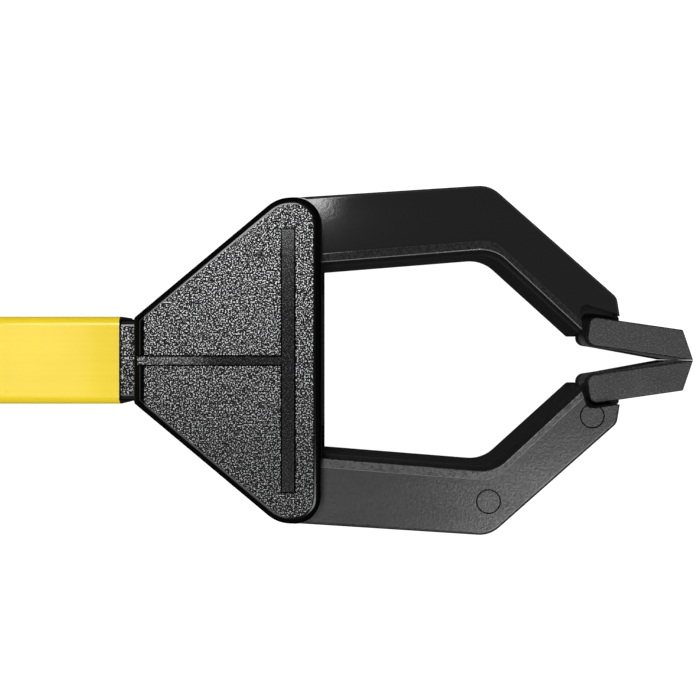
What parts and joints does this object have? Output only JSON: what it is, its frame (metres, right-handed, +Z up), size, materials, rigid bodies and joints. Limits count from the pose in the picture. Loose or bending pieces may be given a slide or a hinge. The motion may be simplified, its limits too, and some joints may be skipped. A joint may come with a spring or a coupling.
{
  "type": "reacher grabber",
  "caption": "Hand-held reaching tool: a pistol grip and trigger on a rectangular shaft close bent jaws with swivelling tip blocks.",
  "frame": {"origin": "on the flat back face of the head, under the shaft's axis, midway between the two jaw pivots", "axes": "+X along the shaft towards the jaws, +Z up out of the head's ribbed broad face, +Y towards the upper jaw, away from the grip"},
  "size_m": [0.6354, 0.1448, 0.0276],
  "materials": {
    "yellow_shaft": "glossy yellow lacquer over drawn aluminium, faint lengthwise streaks",
    "textured_black": "moulded black nylon with a coarse spark-eroded texture",
    "arm_black": "smooth satin black nylon",
    "tip_black": "black nylon with a fine texture",
    "natural_nylon": "natural nylon",
    "screw_steel": "zinc plated",
    "pin_steel": "drawn steel",
    "spring_steel": "spring wire"
  },
  "bodies": {
    "shaft_assembly": {"shaft_tube": "yellow_shaft", "head_front_cover": "textured_black", "head_back_cover": "textured_black", "head_screws": "screw_steel", "head_rod_bush": "natural_nylon", "rod_guide_front": "natural_nylon", "rod_guide_rear": "natural_nylon", "shaft_screws": "screw_steel", "handle_front_shell": "textured_black", "handle_back_shell": "textured_black", "handle_screws": "screw_steel", "trigger_pivot_pin": "pin_steel", "return_spring": "spring_steel"},
    "trigger_lever": {"trigger": "arm_black", "trigger_link_pin": "pin_steel"},
    "rod_assembly": {"pull_rod": "pin_steel", "crosshead": "natural_nylon", "crosshead_pin": "pin_steel", "rod_yoke": "natural_nylon", "yoke_pin": "pin_steel"},
    "upper_arm": {"upper_jaw_arm": "arm_black", "upper_drive_pin": "pin_steel"},
    "lower_arm": {"lower_jaw_arm": "arm_black", "lower_drive_pin": "pin_steel"},
    "upper_tip": {"upper_jaw_tip": "tip_black", "upper_tip_pin": "pin_steel"},
    "lower_tip": {"lower_jaw_tip": "tip_black", "lower_tip_pin": "pin_steel"}
  },
  "joints": [
    {"name": "trigger_hinge", "type": "hinge", "parent": "shaft_assembly", "child": "trigger_lever", "pos_m": [-0.478, 0.022, 0.0135], "axis": [0, 0, 1], "range_deg": [0, 28.75], "stiffness_Nm_per_rad": 0.15, "springref_deg": 31.51},
    {"name": "pull_rod_slide", "type": "slide", "parent": "shaft_assembly", "child": "rod_assembly", "axis": [1, 0, 0], "range_m": [0, 0.01093], "deforming": ["return_spring"]},
    {"name": "upper_arm_pivot", "type": "hinge", "parent": "shaft_assembly", "child": "upper_arm", "pos_m": [0, 0.0302, 0.0135], "axis": [0, 0, 1], "range_deg": [0, 25]},
    {"name": "lower_arm_pivot", "type": "hinge", "parent": "shaft_assembly", "child": "lower_arm", "pos_m": [0, -0.0302, 0.0135], "axis": [0, 0, 1], "range_deg": [-25, 0]},
    {"name": "upper_tip_pivot", "type": "hinge", "parent": "upper_arm", "child": "upper_tip", "pos_m": [0.07102, 0.00618, 0.0135], "axis": [0, 0, 1], "range_deg": [0, 12]},
    {"name": "lower_tip_pivot", "type": "hinge", "parent": "lower_arm", "child": "lower_tip", "pos_m": [0.07102, -0.00618, 0.0135], "axis": [0, 0, 1], "range_deg": [-12, 0]}
  ],
  "couplings": [
    {"joint": "pull_rod_slide", "follows": "trigger_hinge", "m_per_rad": 0.02177},
    {"joint": "upper_arm_pivot", "follows": "trigger_hinge", "ratio": 0.8695},
    {"joint": "lower_arm_pivot", "follows": "trigger_hinge", "ratio": -0.8695}
  ]
}
